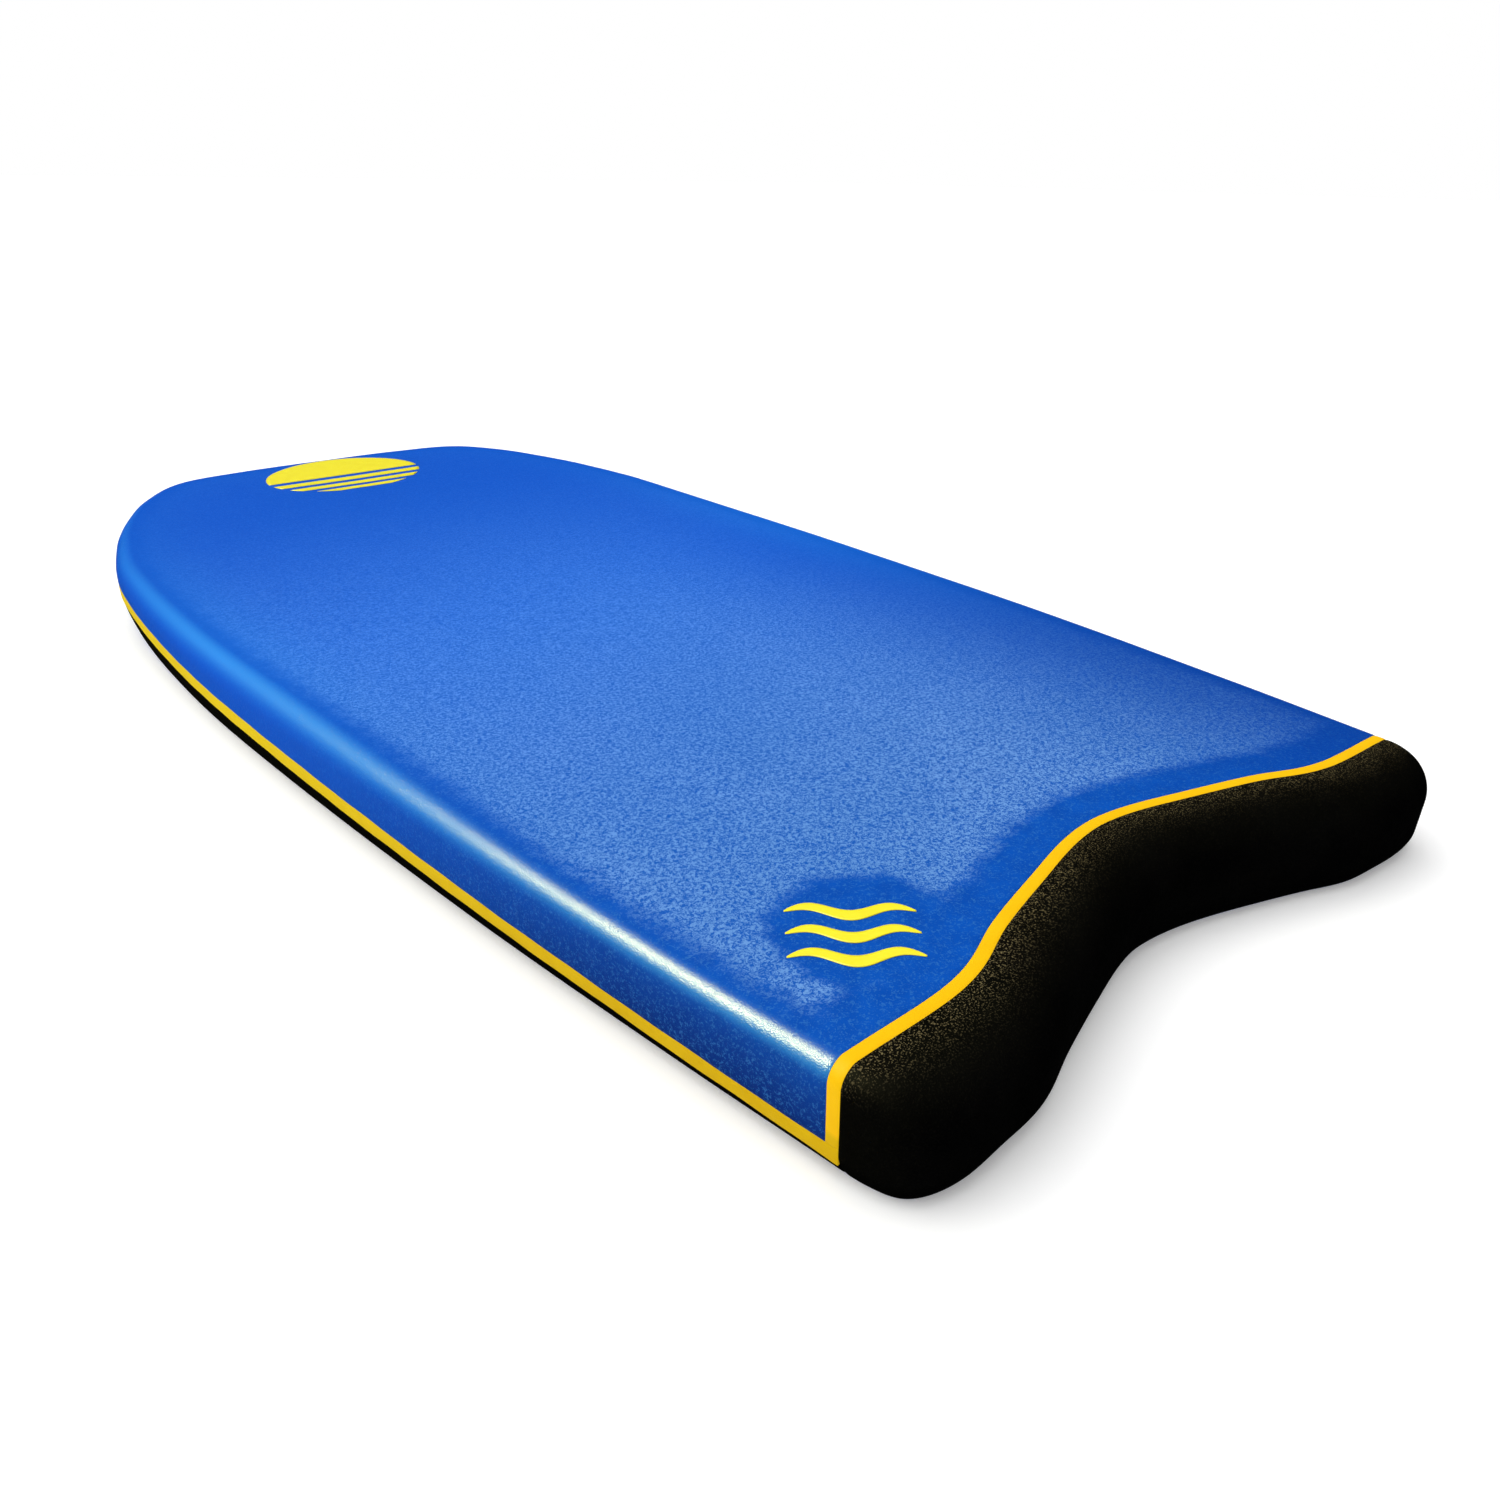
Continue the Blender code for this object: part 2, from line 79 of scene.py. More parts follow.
# The deck's edge along the rails softens forward, and its side goes from a slight overhang
# to a slight lean; its crown falls towards the rails over the tail.
RAIL_EDGE_RADII = (0.0095, 0.0175)
RAIL_SLANTS = (math.radians(-2.0), math.radians(1.0))
RAIL_CHANGE = (0.0400, 0.4600)
NOSE_WALL = 0.0048  # the least upright side above the pinline, where the nose is thin
NOSE_WALL_BLEND = 0.0030
CROWN_FALL = 0.0020
CROWN_WIDTH = 0.0900
CROWN_FADES = (0.0500, 0.3500)
CROWN_SIDES = (0.1700, 0.2200)  # the board's edge takes the crown's fall outside these only

# The seams. A skin rolls in by the dip beside a seam, and the pinline's edges waver a little.
JOIN = 0.00001  # half the hairline between two neighbouring skins
SEAM_DIP = 0.00030
SEAM_WIDTH = 0.0009
SEAM_WAVE = 0.00012
SEAM_WAVE_RATES = (71, 163)

# The foam's unevenness: the size of a ripple, its height and its seed.
DECK_RIPPLES = ((0.075, 0.00030, 1), (0.020, 0.00006, 2))
RAGGED = (0.007, 0.0060, 7)
BUMPER_RIPPLE_UP = (0.030, 0.00025, 4)
BUMPER_RIPPLE_ACROSS = (0.035, 0.00025, 5)
BUMPER_RIPPLE_ALONG = (0.035, 0.00040, 6)
BUMPER_CALM = (0.0, 0.01)  # the distance from its seam over which a ripple comes in
BUMPER_FOOT = 0.004  # below this height the bumper isn't rippled upwards

# The outline of the right half in plan, from the tail's notch round to the nose.
OUTLINE_KNOTS = (
    (0.0000, 0.0050),
    (0.0300, 0.0015),
    (0.0680, -0.0090),
    (0.1130, -0.0235),
    (0.1430, -0.0345),
    (0.1720, -0.0380),
    (0.2020, -0.0388),
    (0.2240, -0.0300),
    (0.2322, -0.0100),
    (0.2331, -0.0015),
    (0.2450, 0.1050),
    (0.2590, 0.2568),
    (0.2714, 0.4622),
    (0.2755, 0.6367),
    (0.2670, 0.8011),
    (0.2480, 0.8770),
    (0.2268, 0.9275),
    (0.1945, 0.9790),
    (0.1510, 1.0160),
    (0.0880, 1.0260),
    (0.0000, 1.0275),
)
OUTLINE_STEP = 0.0010
OUTLINE_BLUR = 0.0050
RAIL_START = (0.2200, -0.0150)  # the right rail begins past this x and y
NOSE_JOINT = 0.9275
SPINE = (0.1800, 0.9000)  # the line on the underside on which the slick's rings close

# The pinline across the deck's tail edge, from the centre to the right.
PINLINE_KNOTS = (
    (0.0000, 0.0466),
    (0.0280, 0.0432),
    (0.0660, 0.0330),
    (0.1130, 0.0193),
    (0.1450, 0.0065),
    (0.1700, 0.0018),
    (0.2200, 0.0010),
    (0.3000, 0.0010),
)
PINLINE_AT_RAIL = PINLINE_KNOTS[-1][1]
RIM = 0.0130  # how far the bumper's painted speckled sheen reaches from the tail pinline
TAIL_FADE = 0.2600  # the length over which the deck's rows straighten out

# The meshes' steps. NEAR_SEAM holds distances from a seam, close together where a skin rolls in.
# Points nearer than WELD are joined, and an edge under LEAST_EDGE is dissolved.
BEZIER_STEPS = 41
NEAR_SEAM = np.array((0.0, 0.0003, 0.0006, 0.0010, 0.0015, 0.0022, 0.0032, 0.0046))
RAIL_STEP = 0.0055
BUMPER_STEP = 0.0026
NOSE_FROM = 0.9000  # where the deck's rows come closer together, for the nose's corners
NOSE_ROWS = 130
WALL_STEPS = 9
ARC_SHARES = np.linspace(0, 1, 15)
SHARES = np.sin(np.linspace(1, -1, 97) * math.pi / 2)
ACROSS_STRIP = np.array((-1, -0.96, -0.88, -0.7, -0.4, 0, 0.4, 0.7, 0.88, 0.96, 1))
BUMPER_FOOT_STEPS = 13
BUMPER_FACE_STEPS = 15
BUMPER_TOP_STEPS = 14
BUMPER_CROWDING = (0.004, 0.020)  # the top's width over which its columns crowd to the pinline
SKIN_STEPS = 19
SKIN_CROWDING = 1.6
SLICK_STATIONS = 900
SLICK_EDGE_STEPS = 5
SLICK_RINGS = 26
FAR = 1.0  # a distance at which a seam has no effect
WELD = 0.000004
LEAST_EDGE = 0.00006

# The printed films.
FILM = 0.00025
FILM_LIFT = 0.00006
SUN_CENTRE = 0.9650
SUN_HALF_WIDTH = 0.0790
SUN_HALF_LENGTH = 0.0530
SUN_EDGES = (0.04, 0.19, 0.37, 0.51, 0.67, 0.80, 0.94)  # shares of the rear half length
SUN_TIP = 0.9995
DISC_STEPS = 64
BAR_STEPS = 8
SUN_COLUMNS = 41
WAVE_CENTRE = np.array((-0.1680, 0.0570))
WAVE_LENGTH = 0.0600
WAVE_PITCH = 0.0170
WAVE_BAND = 0.0080
WAVE_HEIGHT = 0.0035
WAVE_TURN = math.radians(-40)
WAVE_BLUNTNESS = 0.02
WAVE_STEPS = 90
WAVE_COLUMNS = 7

# Where the deck's tints and its painted light and shade lie. A pair is the start and the end of a
# change.
FRONT_FADES = (0.05, 0.60)  # how far from the tail the painted light and shade of the tail turn into the nose's
RIGHT_FADES = (0.00, 0.27)  # how far across painted shade darkens the deck to the right, and less so forward
RIGHT_ENDS = (0.45, 0.95)
RAIL_DEPTHS = (0.15, 0.90)  # the share of the way down the side over which painted shade darkens it
PEBBLE_SHEEN_FROM_RAIL = (0.000, 0.020)  # the pebbled grain and the pale sheen painted on it, as distances from what bounds it
PEBBLE_SHEEN_FROM_TAIL = (0.022, 0.034)
PEBBLE_SHEEN_FROM_MARK = (0.040, 0.048)
# the painted sheen weakens towards the nose and to the right
PEBBLE_SHEEN_ENDS = (0.42, 0.92)
PEBBLE_SHEEN_END_LOSS = 0.88
PEBBLE_SHEEN_RIGHT_LOSS = 0.90
MARK_CENTRE = np.array((-0.1600, 0.0570))
CREST = (0.45, 0.68)  # where the painted highlight on the edge's rounding is palest, as a share, at tail and front
CREST_WIDTH = 0.26
CREST_REACH = 0.040  # how far in over the deck the painted highlight fades out
# the painted highlight weakens towards the nose
CREST_FADES = (0.55, 1.00)
CREST_LOSS = 0.75
GLOSS_FADES = (0.10, 0.42)
GLOSS_LOSS = 0.66
TAIL_SHADES = (0.004, 0.034)  # the tail pinline takes painted shade only where it ends, low beside the rails

# The pinlines' yellows: the first under painted shade, the second lit.
TAIL_YELLOWS = ((0.690, 0.410, 0.001), (0.910, 0.500, 0.001))
RAIL_YELLOWS = ((0.660, 0.405, 0.001), (0.800, 0.570, 0.002))

# The camera.
CAMERA_PLACE = (-0.4888, -0.2385 - TAIL_TO_ORIGIN, 0.3581)
CAMERA_YAW = math.radians(-41.191)
CAMERA_PITCH = math.radians(-26.026)
CAMERA_ROLL = math.radians(1.008)
CAMERA_LENS = 28.504
CAMERA_SENSOR = 36.0
CAMERA_NEAR = 0.01

# The floor and the lights.
FLOOR_REACH = 30.0
FLOOR_LEVEL = -0.0002  # just under the slick, so that the two don't share a plane
FLOOR_GLOW = 0.22
AMBIENT = 0.42
REFLECTED = 0.02
OVERHEAD = 2.55
OVERHEAD_SPREAD = 80.0
OVERHEAD_FROM = (-0.25, 0.35, 1.0)
KEY_PLACE = (-1.60, 0.75, 2.00)
KEY_TARGET = (-0.23, -0.35, 0.05)
KEY_SIZE = (0.45, 1.80)
KEY_POWER = 420.0
KEY_COLOUR = (1.0, 0.97, 0.42)
WHITE = (1.0, 1.0, 1.0, 1.0)

# A Mix node's sockets for colours.
MIX_SHARE, MIX_FIRST, MIX_SECOND, MIX_RESULT = 0, 6, 7, 2


# ---------------------------------------------------------------- curves in plan


def through(knots):
    """A dense smooth line through knots that start on the centre line, as an array."""
    points = [Vector(knot) for knot in knots]
    before = Vector((-points[1].x, points[1].y))
    after = Vector((-points[-2].x, points[-2].y)) if points[-1].x == 0 else points[-1]
    line = [before, *points, after]
    dense = [points[0].copy()]
    for i in range(1, len(points)):
        start, end = line[i], line[i + 1]
        reach = (end - start).length / 3
        leave = (end - line[i - 1]).normalized() * reach
        arrive = (line[i + 2] - start).normalized() * reach
        stretch = (start, start + leave, end - arrive, end, BEZIER_STEPS)
        dense += geometry.interpolate_bezier(*stretch)[1:]
    return np.array([(point[0], point[1]) for point in dense])


def along(points):
    """The distance along a line at each of its points."""
    steps = np.linalg.norm(np.diff(points, axis=0), axis=1)
    return np.concatenate(([0.0], np.cumsum(steps)))


def smoothed_loop(half):
    """The half outline mirrored to a closed loop, evenly spaced, with its curvature evened out."""
    loop = np.concatenate((half, (half * (-1, 1))[-2::-1]))
    length = along(loop)
    count = int(length[-1] / OUTLINE_STEP)
    even = np.linspace(0, length[-1], count, endpoint=False)
    x = np.interp(even, length, loop[:, 0])
    y = np.interp(even, length, loop[:, 1])
    reach = int(4 * OUTLINE_BLUR / OUTLINE_STEP)
    kernel = np.exp(-0.5 * (np.arange(-reach, reach + 1) * OUTLINE_STEP / OUTLINE_BLUR) ** 2)
    kernel /= kernel.sum()
    smooth = []
    for values in (x, y):
        padded = np.concatenate((values[-reach:], values, values[:reach]))
        smooth.append(np.convolve(padded, kernel, "valid"))
    return np.stack(smooth, axis=1)


def inward_normals(loop):
    ahead = np.roll(loop, -1, axis=0) - np.roll(loop, 1, axis=0)
    ahead /= np.linalg.norm(ahead, axis=1)[:, None]
    return np.stack((-ahead[:, 1], ahead[:, 0]), axis=1)


# The outline runs from the tail's notch up the right side, round the nose and down the left.
LOOP = smoothed_loop(through(OUTLINE_KNOTS))
LOOP_AT = along(np.concatenate((LOOP, LOOP[:1])))
LOOP_INWARD = inward_normals(LOOP)
AROUND = LOOP_AT[-1]
HALFWAY = AROUND / 2
RIGHT_SIDE = LOOP[: len(LOOP) // 2 + 1]
RAIL_FIRST = int(np.argmax((RIGHT_SIDE[:, 0] > RAIL_START[0]) & (RIGHT_SIDE[:, 1] > RAIL_START[1])))
RIGHT_RAIL = RIGHT_SIDE[RAIL_FIRST:]


def on_loop(values, s):
    """Values known at the loop's points, at distance s round it from the tail's notch."""
    closed = np.concatenate((values, values[:1]))
    s = np.mod(s, AROUND)
    return np.stack([np.interp(s, LOOP_AT, closed[:, k]) for k in (0, 1)], axis=-1)


def plan(s):
    """The outline's points at distances s round it."""
    return on_loop(LOOP, s)


def inward(s):
    """The directions square into the board at distances s round the outline."""
    found = on_loop(LOOP_INWARD, s)
    return found / np.linalg.norm(found, axis=-1)[..., None]


def right_rail_at(y):
    """The distance round the outline where the right rail passes y."""
    return float(np.interp(y, RIGHT_RAIL[:, 1], LOOP_AT[RAIL_FIRST : len(RIGHT_SIDE)]))


PIN = through(PINLINE_KNOTS)
PIN_SLOPE = np.gradient(PIN[:, 1], PIN[:, 0])


def pin_y(x, offset):
    """The tail pinline's y at x, moved across its own direction by an offset."""
    x = np.abs(x)
    slope = np.interp(x, PIN[:, 0], PIN_SLOPE)
    return np.interp(x, PIN[:, 0], PIN[:, 1]) + offset * np.sqrt(1 + slope**2)


# ---------------------------------------------------------------- the board's section


def ease(low, high, value):
    """A smooth change from 0 at the low value to 1 at the high one."""
    part = np.clip((value - low) / (high - low), 0.0, 1.0)
    return part * part * (3 - 2 * part)


def rocker(y):
    """How far the underside rises towards the nose."""
    part = np.maximum(y - ROCKER_START, 0.0) / (BOARD - ROCKER_START)
    return ROCKER_HEIGHT * part**ROCKER_POWER


def thickness(y):
    return THICKNESS - NOSE_THINNING * (np.maximum(y, 0.0) / BOARD) ** 3


def pinline_height(y):
    share = np.clip(y / BOARD, 0.0, 1.0)
    return PINLINE_HEIGHT_TAIL + (PINLINE_HEIGHT_NOSE - PINLINE_HEIGHT_TAIL) * share


def by_rail(pair, y):
    """A value that changes along the rail from the tail's to the nose's."""
    return pair[0] + (pair[1] - pair[0]) * ease(*RAIL_CHANGE, y)


def pinline_edge(y, side):
    """The height of the rail pinline's upper edge, or with side -1 of its lower one."""
    slow, fast = SEAM_WAVE_RATES
    waver = SEAM_WAVE * (np.sin(slow * y + 2 * side) + np.sin(fast * y + side))
    return pinline_height(y) + side * by_rail(RAIL_PINLINES, y) / 2 + waver


def softly_under(value, limit, blend):
    """The lesser of two values, passing smoothly from one to the other."""
    share = np.clip(0.5 + 0.5 * (limit - value) / blend, 0, 1)
    return limit + (value - limit) * share - blend * share * (1 - share)


def slant_of(y):
    """The side's lean in from upright."""
    return by_rail(RAIL_SLANTS, y)


def crown(from_rail, y):
    """How far the deck falls below its middle at a distance in from its edge."""
    near = np.clip(1 - from_rail / CROWN_WIDTH, 0, 1)
    return CROWN_FALL * near**2 * (1 - ease(*CROWN_FADES, y))


def edge_radius(s):
    """The radius of the deck's edge: small on the rails, large over the tail."""
    point = plan(s)
    x, y = np.abs(point[..., 0]), point[..., 1]
    over_tail = ease(*TAIL_EDGE_FADES, -y)
    in_notch = (1 - ease(*NOTCH_SIDES, x)) * (y < NOTCH_REACH)
    rail = by_rail(RAIL_EDGE_RADII, y)
    radius = rail + (TAIL_EDGE_RADIUS - rail) * np.maximum(over_tail, in_notch)
    return softly_under(radius, thickness(y) - pinline_edge(y, 1) - NOSE_WALL, NOSE_WALL_BLEND)


def ripple(points, size, height, seed):
    """A soft unevenness of the foam at points in space, in metres."""
    shift = Vector((seed * 7.1, seed * 3.7, seed * 1.9))
    flat = np.asarray(points).reshape(-1, 3)
    found = [noise.noise(Vector(point) / size + shift) for point in flat]
    return height * np.array(found).reshape(np.asarray(points).shape[:-1])


def dip(distance):
    """How far a skin rolls in at a distance from its seam."""
    return SEAM_DIP * np.exp(-((distance / SEAM_WIDTH) ** 2))


def sunk(rows, distance):
    """A grid of points rolled in square to its own surface, each by its distance from a seam."""
    normal = np.cross(np.gradient(rows, axis=0), np.gradient(rows, axis=1))
    length = np.linalg.norm(normal, axis=-1, keepdims=True)
    normal = np.where(length > 1e-13, normal / np.maximum(length, 1e-13), (0.0, 0.0, 1.0))
    return rows - normal * dip(distance)[..., None]


def in_space(flat, height):
    """Points in space over plan points, at a height above the board's underside."""
    y = flat[..., 1]
    return np.stack((flat[..., 0], y - TAIL_TO_ORIGIN, rocker(y) + height), axis=-1)


def from_edge(s, inset, height):
    """Points in space at an inset from the outline and a height above the underside."""
    point = plan(s)
    return in_space(point + inward(s) * np.asarray(inset)[..., None], height)


def arc_of(s):
    """The deck edge's centre inset and centre height, and its radius."""
    point = plan(s)
    y = point[..., 1]
    radius = edge_radius(s)
    on_rail = ease(*CROWN_SIDES, np.abs(point[..., 0]))
    level = thickness(y) - radius - crown(0.0, y) * on_rail
    slant = slant_of(y)
    rise = level + radius * np.sin(slant) - pinline_height(y)
    return rise * np.tan(slant) + radius * np.cos(slant), level, radius


def foot_column(s, height):
    """Points of the lower rail at a height above the underside."""
    y = plan(s)[..., 1]
    part = np.clip(1 - (height - FOOT_HEIGHT) / pinline_height(y), 0, 1)
    return from_edge(s, CHINE_INSET * part**CHINE_POWER, height)


def wall_column(s, height):
    """Points of the upper rail at a height above the underside."""
    y = plan(s)[..., 1]
    rise = np.maximum(height - pinline_height(y), 0)
    return from_edge(s, rise * np.tan(slant_of(y)), height)


def flat_edge(s):
    """The plan point where the deck's rounded edge ends and its flat begins."""
    centre, _, _ = arc_of(s)
    return plan(s) + inward(s) * centre[..., None]


def deck_point(x, y):
    """Points of the deck in space, with its crown and its faint unevenness."""
    edge = np.interp(y, RIGHT_RAIL[:, 1], RIGHT_RAIL[:, 0]) - by_rail(RAIL_EDGE_RADII, y)
    points = in_space(np.stack((x, y), axis=-1), thickness(y) - crown(edge - np.abs(x), y))
    wide, small = DECK_RIPPLES
    points[..., 2] += ripple(points, *wide) + ripple(points, *small)
    return points


def arc_columns(s):
    """Columns over the deck's rounded edge, from the side up to where the flat begins."""
    centre, level, radius = arc_of(s)
    slant = slant_of(plan(s)[..., 1])
    edge = flat_edge(s)
    lift = deck_point(edge[..., 0], edge[..., 1])[..., 2] - in_space(edge, level + radius)[..., 2]
    columns = []
    for share in ARC_SHARES:
        angle = slant + (math.pi / 2 - slant) * share
        point = from_edge(s, centre - radius * np.cos(angle), level + radius * np.sin(angle))
        point[..., 2] += lift * share**2
        columns.append(point)
    return columns


# ---------------------------------------------------------------- meshes


def mesh_piece(name, rows, attributes=None, wall=SKIN, turned=False):
    """A skin from a grid of points, thickened inwards. Points that coincide are joined."""
    count, across = rows.shape[:2]
    index = np.arange(count * across).reshape(count, across)
    quads = np.stack((index[:-1, :-1], index[1:, :-1], index[1:, 1:], index[:-1, 1:]), axis=-1)
    quads = quads.reshape(-1, 4)
    if turned:
        quads = quads[:, ::-1]
    mesh = bpy.data.meshes.new(name)
    mesh.from_pydata(rows.reshape(-1, 3).tolist(), [], quads.tolist())
    for key, values in (attributes or {}).items():
        layer = mesh.attributes.new(key, "FLOAT", "POINT")
        layer.data.foreach_set("value", np.asarray(values, np.float32).reshape(-1))
    obj = bpy.data.objects.new(name, mesh)
    bpy.context.scene.collection.objects.link(obj)
    weld(mesh)
    solid = obj.modifiers.new("wall", "SOLIDIFY")
    solid.thickness = wall
    solid.offset = -1
    solid.use_quality_normals = True
    return obj


def weld(mesh):
    bm = bmesh.new()
    bm.from_mesh(mesh)
    bmesh.ops.remove_doubles(bm, verts=bm.verts, dist=WELD)
    bmesh.ops.dissolve_degenerate(bm, edges=bm.edges, dist=LEAST_EDGE)
    bm.to_mesh(mesh)
    bm.free()
    mesh.shade_smooth()


def declare(obj, material, node):
    """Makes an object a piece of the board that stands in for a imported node."""
    obj.data.materials.append(material)
    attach(obj, ROOT)
    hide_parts(node)


def stations(start, end, step, dense_start=False, dense_end=False):
    """Values from start to end about a step apart, closer at an end that is a seam."""
    first = start + NEAR_SEAM if dense_start else np.array((start,))
    last = end - NEAR_SEAM[::-1] if dense_end else np.array((end,))
    inner = max(int((last[0] - first[-1]) / step), 1)
    middle = np.linspace(first[-1], last[0], inner + 1)[1:-1]
    return np.concatenate((first, middle, last))


def upper_rail(s):
    """Columns up the rail from the pinline's upper edge and over the rounding, for points s."""
    y = plan(s)[..., 1]
    low = pinline_edge(y, 1) + JOIN
    _, level, radius = arc_of(s)
    top = level + radius * np.sin(slant_of(y))
    begin = low + NEAR_SEAM[-1]
    columns = [wall_column(s, low + distance) for distance in NEAR_SEAM[:-1]]
    for share in np.linspace(0, 1, WALL_STEPS)[:-1]:
        columns.append(wall_column(s, begin + (top - begin) * share))
    return columns + arc_columns(s)


def across_board(s, flat):
    """Rows from the right rail over the flat to the left rail, and each column's seam distance."""
    right, left = upper_rail(s), upper_rail(AROUND - s)
    top = [flat[:, k] for k in range(len(SHARES))]
    rows = np.stack([*right[:-1], *top, *left[-2::-1]], axis=1)
    up_rail = np.full(len(right) - 1, FAR)
    up_rail[: len(NEAR_SEAM)] = NEAR_SEAM
    return rows, np.concatenate((up_rail, np.full(len(SHARES), FAR), up_rail[::-1]))


def deck_row_points(s, offset_line, fade):
    """The flat part of deck rows that end at s on the right rail and mirrored on the left.

    A row bends with the tail pinline by its fade, and bows out to the nose past the nose joint.
    """
    edge = flat_edge(s)
    x = edge[:, None, 0] * SHARES[None, :]
    base = edge[:, None, 1] + np.zeros_like(x)
    bend = pin_y(x, offset_line) - pin_y(edge[:, None, 0] + np.zeros_like(x), offset_line)
    y = base + fade[:, None] * bend
    nose_edge = flat_edge(np.array((HALFWAY,)))[0, 1]
    joint = right_rail_at(NOSE_JOINT)
    joint_y = flat_edge(np.array((joint,)))[0, 1]
    share = np.clip((s - joint) / (HALFWAY - joint), 0, 1)
    middle = joint_y + (nose_edge - joint_y) * share
    bow = np.where(s > joint, middle - edge[:, 1], 0.0)
    y = y + bow[:, None] * (1 - SHARES[None, :] ** 2)
    return deck_point(x, y), x, y


def deck_tints(s, x, y, columns):
    """What the deck's material reads, for rows at s whose flat part has the plan points x and y.

    crest: the painted highlight along the rounded edge, and polish: how glossy it is
    pebble_and_sheen: the pebbled grain over the middle and the pale sheen painted on it
    rail: how far down the side, front: how near the nose, right: how far to the right, which place
    the painted shade and light
    """
    from_rail = np.abs(flat_edge(s)[:, 0])[:, None] - np.abs(x)
    from_tail = y - pin_y(x, TAIL_PINLINE / 2 + JOIN)
    from_mark = np.hypot(x - MARK_CENTRE[0], y - MARK_CENTRE[1])
    ragged = ripple(np.stack((x, y, 0 * x), axis=-1), *RAGGED)
    # painted shade to the right, less of it forward
    to_right = ease(*RIGHT_FADES, x) * (1 - ease(*RIGHT_ENDS, y))
    # the pebbled grain and the pale sheen painted on it, weaker towards the nose and the right
    pebble_and_sheen = (
        ease(*PEBBLE_SHEEN_FROM_RAIL, from_rail + ragged)
        * ease(*PEBBLE_SHEEN_FROM_TAIL, from_tail + ragged)
        * (1 - PEBBLE_SHEEN_END_LOSS * ease(*PEBBLE_SHEEN_ENDS, y))
        * ease(*PEBBLE_SHEEN_FROM_MARK, from_mark + ragged)
        * (1 - PEBBLE_SHEEN_RIGHT_LOSS * to_right)
    )
    side = (columns - len(SHARES)) // 2
    none = np.zeros((len(s), side))
    length = plan(s)[:, 1:]
    front = ease(*FRONT_FADES, length) + np.zeros(columns)
    # painted shade down the side, gone towards the nose
    depth = ease(*RAIL_DEPTHS, np.linspace(1, 0, side))[None, :] * (1 - front[:, :side])
    # the painted highlight along the edge's rounding, reaching a little onto the deck
    centre = CREST[0] + (CREST[1] - CREST[0]) * front[:, :1]
    over = none.copy()
    over[:, 1 - len(ARC_SHARES) :] = np.exp(-(((ARC_SHARES[:-1] - centre) / CREST_WIDTH) ** 2))
    onto = np.exp(-(((1 - centre) / CREST_WIDTH) ** 2) - (from_rail / CREST_REACH) ** 2)
    crest = np.concatenate((over, onto, over[:, ::-1]), axis=1)
    crest = crest * (1 - CREST_LOSS * ease(*CREST_FADES, length))
    return {
        "crest": crest,
        "polish": crest * (1 - GLOSS_LOSS * ease(*GLOSS_FADES, length)),
        "pebble_and_sheen": np.concatenate((none, pebble_and_sheen, none), axis=1),
        "rail": np.concatenate((depth, np.zeros_like(pebble_and_sheen), depth[:, ::-1]), axis=1),
        "front": front,
        "right": np.concatenate((none + 1, to_right, none), axis=1),
    }


def build_deck(material):
    half = TAIL_PINLINE / 2 + JOIN
    start = right_rail_at(PINLINE_AT_RAIL + half)
    nose = right_rail_at(NOSE_FROM)
    by_rails = stations(start, nose, RAIL_STEP, dense_start=True)[:-1]
    s = np.concatenate((by_rails, np.linspace(nose, HALFWAY, NOSE_ROWS)))
    behind = s - start
    flat, x, y = deck_row_points(s, half, 1 - ease(0.0, TAIL_FADE, behind))
    rows, up_rail = across_board(s, flat)
    rows = sunk(rows, np.minimum(up_rail[None, :], behind[:, None]))
    obj = mesh_piece("deck", rows, deck_tints(s, x, y, rows.shape[1]))
    declare(obj, material, "deck_skin")


def build_tail_pinline(material):
    half = TAIL_PINLINE / 2 - JOIN
    rows = []
    for offset in ACROSS_STRIP * half:
        s = np.array((right_rail_at(PINLINE_AT_RAIL + offset),))
        flat, _, _ = deck_row_points(s, offset, np.ones(1))
        row, up_rail = across_board(s, flat)
        rows.append(row[0])
    from_side = half * (1 - np.abs(ACROSS_STRIP))
    rows = sunk(np.array(rows), np.minimum(up_rail[None, :], from_side[:, None]))
    # painted shade on the strip's ends, where it turns down beside the rails' pinline
    shade = ease(*TAIL_SHADES, up_rail)[None, :] + np.zeros((len(rows), 1))
    obj = mesh_piece("tail_pinline_strip", rows, {"shade": shade})
    declare(obj, material, "tail_pinline")


